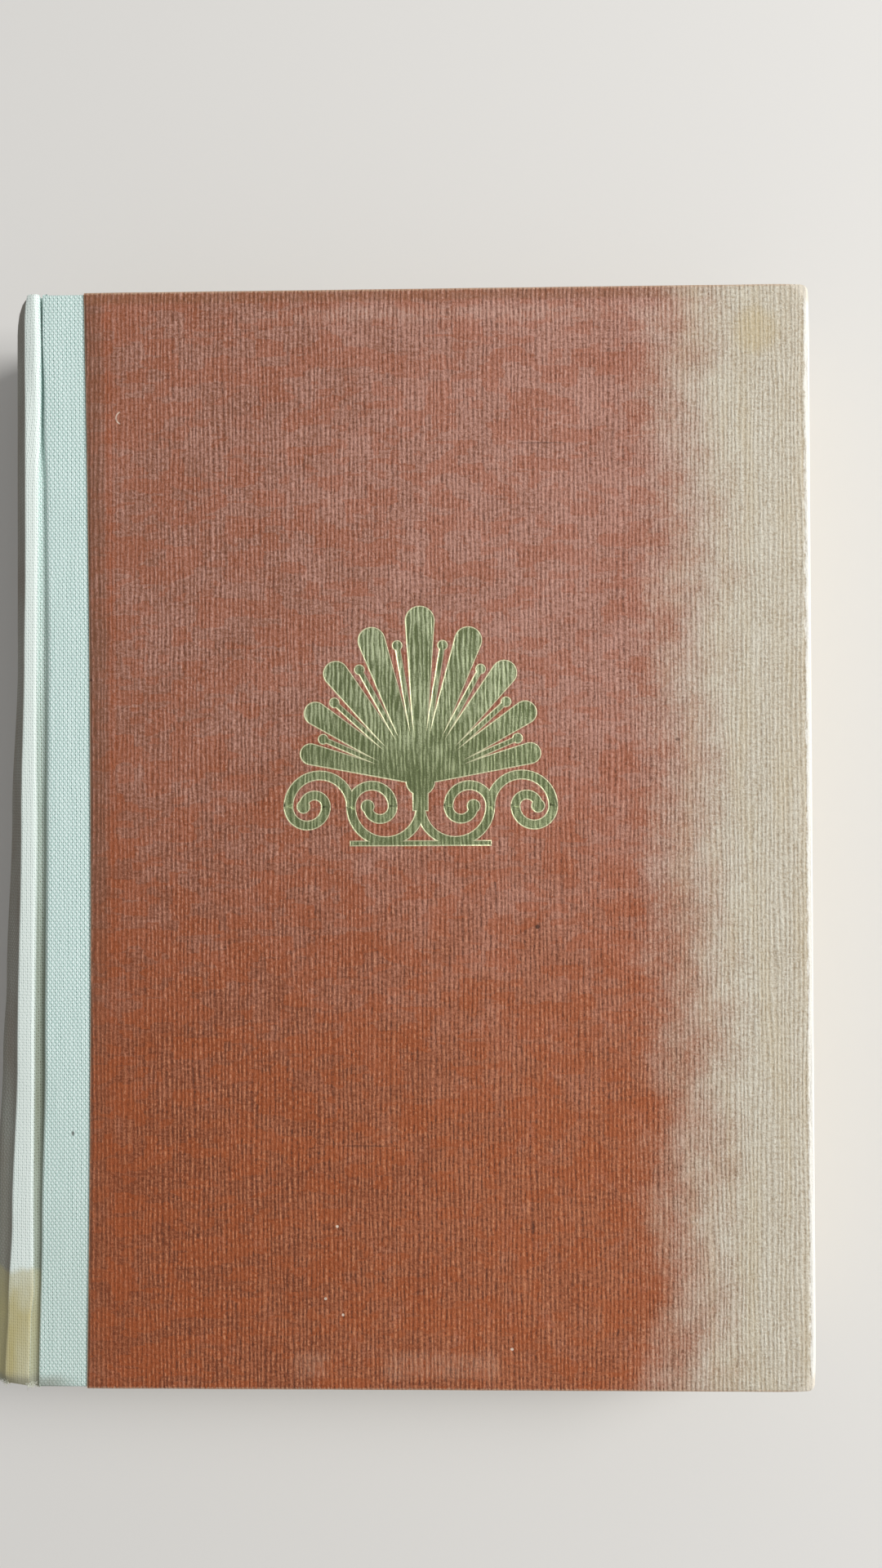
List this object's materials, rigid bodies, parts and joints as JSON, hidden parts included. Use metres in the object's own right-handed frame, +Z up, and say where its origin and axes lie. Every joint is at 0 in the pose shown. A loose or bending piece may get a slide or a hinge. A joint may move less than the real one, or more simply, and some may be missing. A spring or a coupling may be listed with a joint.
{
  "type": "hardback book",
  "caption": "Quarter-cloth hardback book lying closed, with a rounded and backed text block, paper sides and a gilt palmette, and covers that open.",
  "frame": {"origin": "middle of the closed book's outline on the surface that it lies on, under its back cover", "axes": "+X from the spine towards the fore-edge, +Y towards the head, +Z up through the front cover"},
  "size_m": [0.1772, 0.2406, 0.0323],
  "materials": {
    "pages": "matte",
    "endpaper": "matte",
    "mull": "matte",
    "card": "matte",
    "band": "matte",
    "cloth": "matte",
    "board": "matte",
    "side_paper": "matte",
    "gilt": "satin"
  },
  "bodies": {
    "text_block": {"text_block": "pages", "front_flyleaf": "endpaper", "back_flyleaf": "endpaper", "mull": "mull", "spine_lining": "card", "head_band": "band", "tail_band": "band", "spine_inlay": "card", "spine_cloth": "cloth"},
    "front_cover": {"front_board": "board", "front_mull_flap": "mull", "front_cloth": "cloth", "front_side_paper": "side_paper", "front_pastedown": "endpaper", "gilt_ornament": "gilt"},
    "back_cover": {"back_board": "board", "back_mull_flap": "mull", "back_cloth": "cloth", "back_side_paper": "side_paper", "back_pastedown": "endpaper"}
  },
  "joints": [
    {"name": "front_cover_hinge", "type": "hinge", "parent": "text_block", "child": "front_cover", "pos_m": [-0.07855, 0, 0.0326], "axis": [0, -1, 0], "range_deg": [0, 178]},
    {"name": "back_cover_hinge", "type": "hinge", "parent": "text_block", "child": "back_cover", "pos_m": [-0.07855, 0, -0.0003], "axis": [0, 1, 0], "range_deg": [0, 178]}
  ]
}
